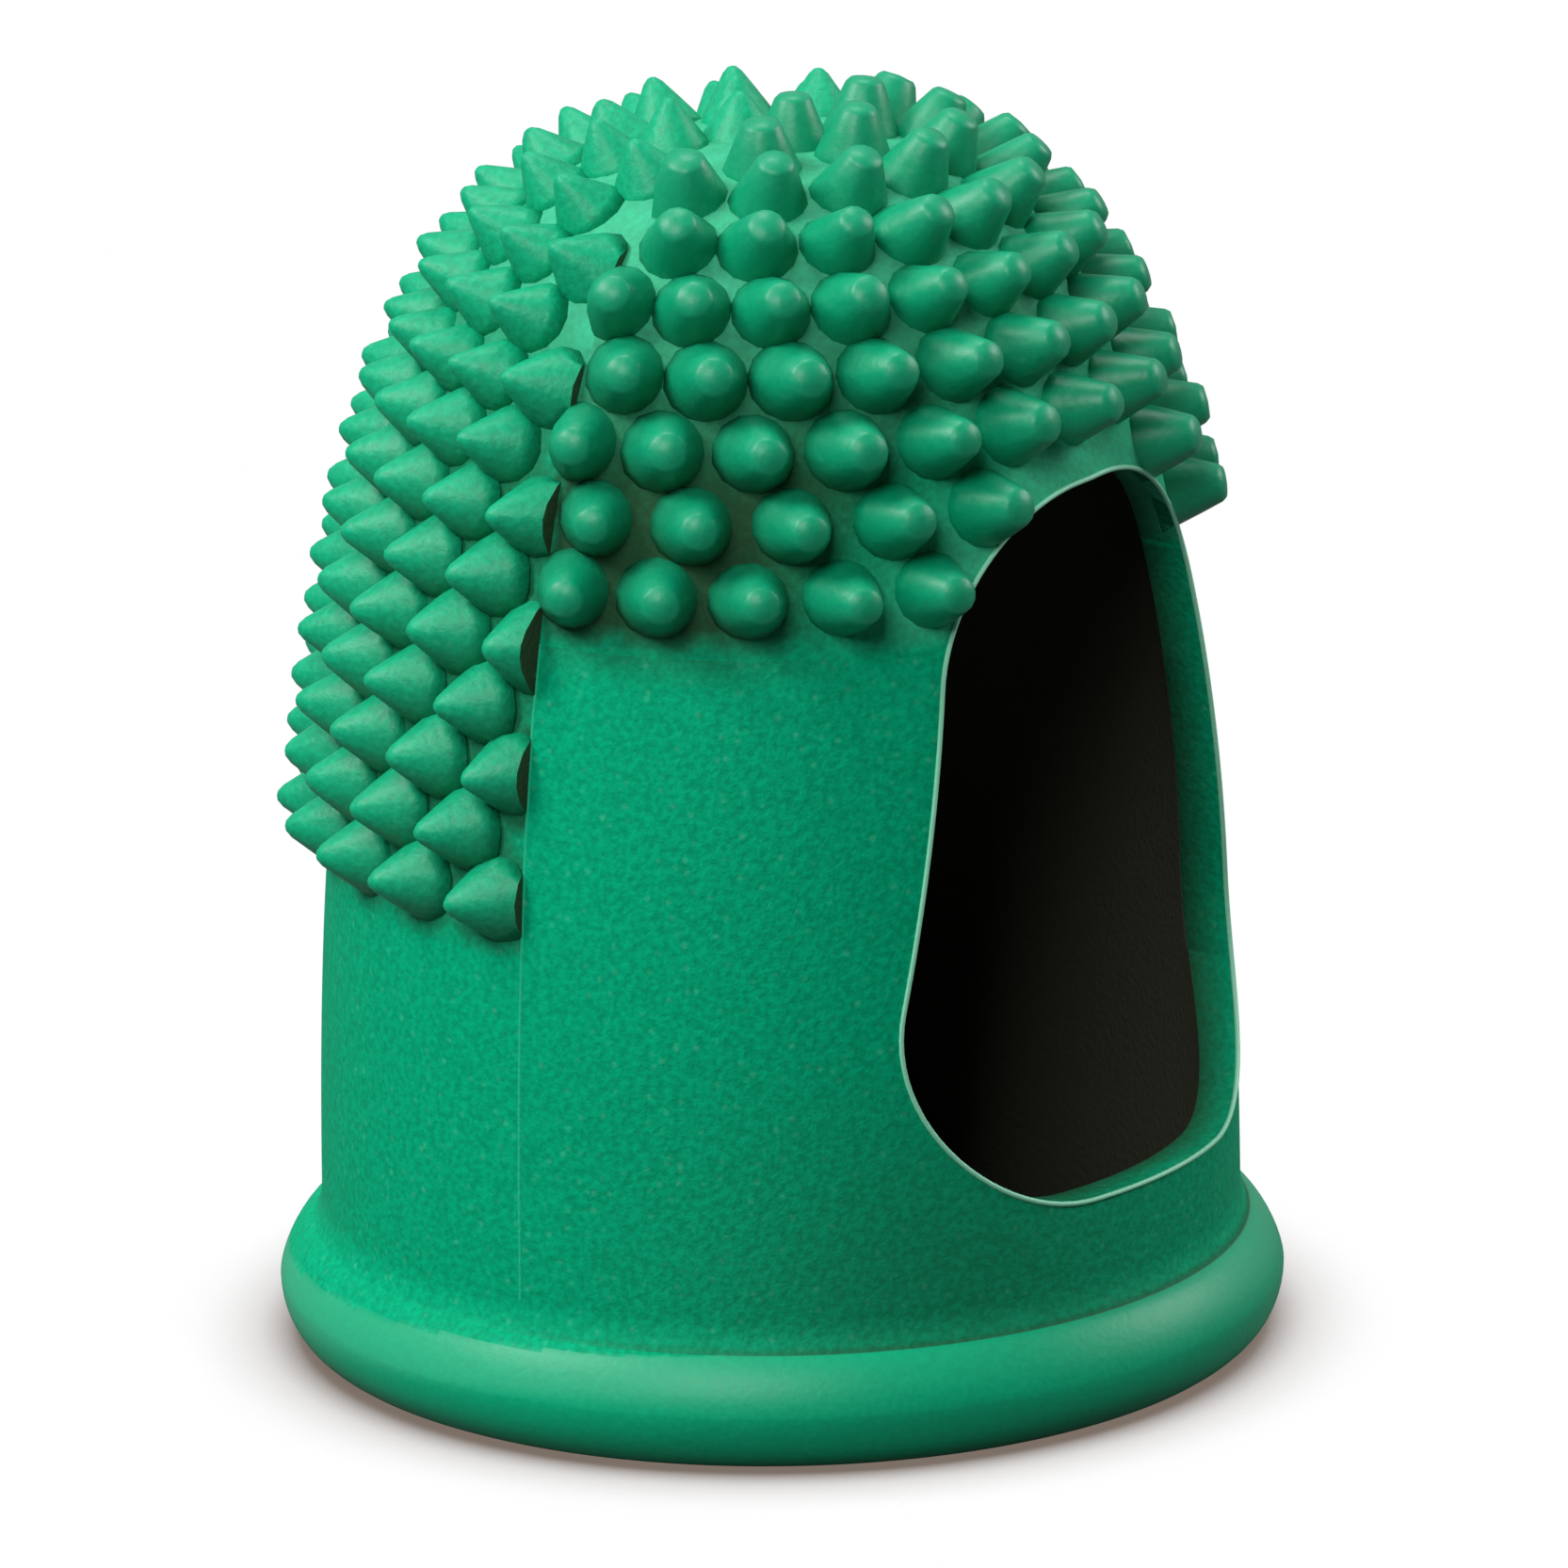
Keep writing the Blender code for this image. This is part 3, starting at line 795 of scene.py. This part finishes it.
pad_outer = outer_line(pad_line, nail_line) + outer_line(nail_line)[1:]
pad_inner = inner_line(pad_line, nail_line) + inner_line(nail_line)[1:]
pad_grip = spun("pad_grip", pad_outer + pad_inner[::-1], -math.pi)
dressed(pad_grip, green_rubber, lining)
shade_inside(pad_grip)
pad_places = nub_places(
    PAD_FIRST_ROW, PAD_ROW_PITCH, PAD_COLUMNS, PAD_FOOT_MORE, PAD_EDGES, PAD_STAGGER, PAD_FACING
)
# These nubs come from cavities that are left satin: the wall's green, with a faint broad light.
satin_rubber = moulded_rubber("green_natural_rubber_satin", RUBBER_DEEP, RUBBER_LIT, **SATIN)
spike = turned_nub("spike", SPIKE_RINGS, SPIKE_TIP, satin_rubber)
stand_nubs(pad_grip, spike, pad_places, PAD_NUB_WIDTH, PAD_NUB_HEIGHT, PAD_SEED)
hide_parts("pad_side_grip")
for pattern in (peg, spike, window_cutter):
    bpy.data.objects.remove(pattern)


# Parting line: the fine ridge of rubber that the mould's two halves leave down both sides of the wall.
# It is a thin thread, more than half sunk in the wall.
FLASH_SUNK = 0.04 * MM
RUBBER_RIDGE_HIGHLIGHT = "#1fae82"
parting_lines = []
for side in (-1, 1):
    ridge = []
    for radius, level in outer_line(rim_line, nail_line):
        ridge.append(Vector((side * (radius - FLASH_SUNK), 0.0, level)))
    parting_lines.append(flash("parting_line", ridge, False))
bpy.ops.object.select_all(action="DESELECT")
for piece in parting_lines:
    piece.select_set(True)
bpy.context.view_layer.objects.active = parting_lines[0]
bpy.ops.object.join()
# The ridge is given a little lighter green than the wall: a painted highlight along it.
ridge_highlight_rubber = moulded_rubber("green_natural_rubber_ridge_highlight", RUBBER_RIDGE_HIGHLIGHT, RUBBER_RIDGE_HIGHLIGHT, **GRAINED)
dressed(parting_lines[0], ridge_highlight_rubber)


# Stage: a plain white floor with a painted contact shadow, soft light from the upper left, and the camera.
# Under the mouth the floor is painted nearly black: painted shade where the cap keeps the light out.
FLOOR_SIZE = 4.0
FLOOR_COLOUR = "#646464"
FLOOR_MIRROR = 0.1
SKY_MIRROR = 0.4
WHITE = (1.0, 1.0, 1.0, 1.0)
SHADOW_COLOUR = "#7c6f66"
SHADOW_REACH = 5.0 * MM
SHADOW_SPREAD = (0.32, 0.86)
SHADOW_RAYS = 16
MOUTH_SHADE = "#0c0c0a"
LAMP_DISTANCE = 0.40
LAMP_SIZE = 0.16
# Each lamp's azimuth from the camera and its elevation in degrees, and its power in watts.
LAMPS = {
    "left_softbox": (-75.0, 46.0, 1.3),
    "left_back_softbox": (-105.0, 60.0, 0.2),
    "front_softbox": (-15.0, 40.0, 0.92),
    "right_softbox": (108.0, 28.0, 0.8),
    "back_softbox": (180.0, 70.0, 0.6),
}
CAMERA_AZIMUTH = math.radians(-56.0)
CAMERA_ELEVATION = math.radians(16.5)
CAMERA_ROLL = math.radians(0.8)
CAMERA_DISTANCE = 0.4
CAMERA_TARGET = Vector((0.0, 0.0, 14.0 * MM))
PHOTO_SIDE = 1665
PHOTO_TARGET = (823.0, 788.0)
PHOTO_FOCAL = 18365.0
SENSOR = 36.0


def towards(azimuth, elevation):
    """The unit vector from the object to this side; azimuth 0 is the nail side."""
    flat = math.cos(elevation)
    return Vector((math.sin(azimuth) * flat, -math.cos(azimuth) * flat, math.sin(elevation)))


bpy.ops.object.select_all(action="DESELECT")
bpy.ops.mesh.primitive_plane_add(size=FLOOR_SIZE)
floor = bpy.context.active_object
floor.name = "floor"
floor_paint, floor_tree, floor_shader = new_material("floor_white")
floor_tree.nodes.remove(floor_shader)
floor_place = add_node(floor_tree, "ShaderNodeTexCoord").outputs["Object"]
floor_reach = add_node(floor_tree, "ShaderNodeVectorMath", {0: floor_place}, operation="LENGTH")
under_cap = add_node(
    floor_tree,
    "ShaderNodeMath",
    {0: floor_reach.outputs["Value"], 1: mouth_radius + MOUTH_ROUND},
    operation="LESS_THAN",
)
rays = add_node(floor_tree, "ShaderNodeLightPath")
mirrored = add_node(
    floor_tree,
    "ShaderNodeMath",
    {0: rays.outputs["Is Glossy Ray"], 1: FLOOR_MIRROR},
    operation="MULTIPLY",
)
seen = add_node(
    floor_tree,
    "ShaderNodeMath",
    {0: rays.outputs["Is Camera Ray"], 1: mirrored.outputs[0]},
    operation="MAXIMUM",
)
seen = add_node(
    floor_tree,
    "ShaderNodeMath",
    {0: seen.outputs[0], 1: rays.outputs["Is Transmission Ray"]},
    operation="MAXIMUM",
)
paint = add_node(floor_tree, "ShaderNodeBsdfDiffuse", {"Color": linear(FLOOR_COLOUR)})
# The contact shadow is painted into the floor's white glow, darker where the cap is near.
contact = add_node(
    floor_tree, "ShaderNodeAmbientOcclusion", {"Distance": SHADOW_REACH}, samples=SHADOW_RAYS
)
clear = add_node(
    floor_tree,
    "ShaderNodeMapRange",
    {"Value": contact.outputs["AO"], "From Min": SHADOW_SPREAD[0], "From Max": SHADOW_SPREAD[1]},
)
white = add_node(
    floor_tree,
    "ShaderNodeMix",
    {"Factor": clear.outputs["Result"], "A": linear(SHADOW_COLOUR), "B": WHITE},
    data_type="RGBA",
)
glow = add_node(floor_tree, "ShaderNodeEmission", {"Color": white.outputs[2]})
bright = add_node(
    floor_tree, "ShaderNodeMixShader", {0: seen.outputs[0], 1: paint.outputs[0], 2: glow.outputs[0]}
)
shade = add_node(floor_tree, "ShaderNodeBsdfDiffuse", {"Color": linear(MOUTH_SHADE)})
surface = add_node(
    floor_tree, "ShaderNodeMixShader", {0: under_cap.outputs[0], 1: bright.outputs[0], 2: shade.outputs[0]}
)
floor_tree.links.new(surface.outputs[0], floor_tree.nodes["Material Output"].inputs["Surface"])
floor.data.materials.append(floor_paint)

world = bpy.data.worlds.new("studio")
bpy.context.scene.world = world
world.use_nodes = True
world_tree = world.node_tree
world_rays = add_node(world_tree, "ShaderNodeLightPath")
world_seen = add_node(
    world_tree,
    "ShaderNodeMath",
    {0: world_rays.outputs["Is Camera Ray"], 1: world_rays.outputs["Is Transmission Ray"]},
    operation="MAXIMUM",
)
sky = add_node(
    world_tree,
    "ShaderNodeMath",
    {0: world_rays.outputs["Is Glossy Ray"], 1: SKY_MIRROR},
    operation="MULTIPLY",
)
sky = add_node(
    world_tree, "ShaderNodeMath", {0: world_seen.outputs[0], 1: sky.outputs[0]}, operation="MAXIMUM"
)
world_tree.links.new(sky.outputs[0], world_tree.nodes["Background"].inputs["Strength"])
world_tree.nodes["Background"].inputs["Color"].default_value = WHITE

for name, (azimuth, elevation, power) in LAMPS.items():
    lamp_data = bpy.data.lights.new(name, "AREA")
    lamp_data.size = LAMP_SIZE
    lamp_data.energy = power
    lamp = bpy.data.objects.new(name, lamp_data)
    bpy.context.scene.collection.objects.link(lamp)
    way = towards(CAMERA_AZIMUTH + math.radians(azimuth), math.radians(elevation))
    lamp.location = CAMERA_TARGET + way * LAMP_DISTANCE
    lamp.rotation_euler = (-way).to_track_quat("-Z", "Y").to_euler()

camera_data = bpy.data.cameras.new("camera")
camera_data.sensor_width = SENSOR
camera_data.lens = SENSOR * PHOTO_FOCAL / PHOTO_SIDE
camera_data.shift_x = 0.5 - PHOTO_TARGET[0] / PHOTO_SIDE
camera_data.shift_y = PHOTO_TARGET[1] / PHOTO_SIDE - 0.5
camera = bpy.data.objects.new("camera", camera_data)
bpy.context.scene.collection.objects.link(camera)
view_way = towards(CAMERA_AZIMUTH, CAMERA_ELEVATION)
view_turn = (-view_way).to_track_quat("-Z", "Y").to_matrix().to_4x4()
camera.location = CAMERA_TARGET + view_way * CAMERA_DISTANCE
camera.rotation_euler = (view_turn @ Matrix.Rotation(-CAMERA_ROLL, 4, "Z")).to_euler()
bpy.context.scene.camera = camera
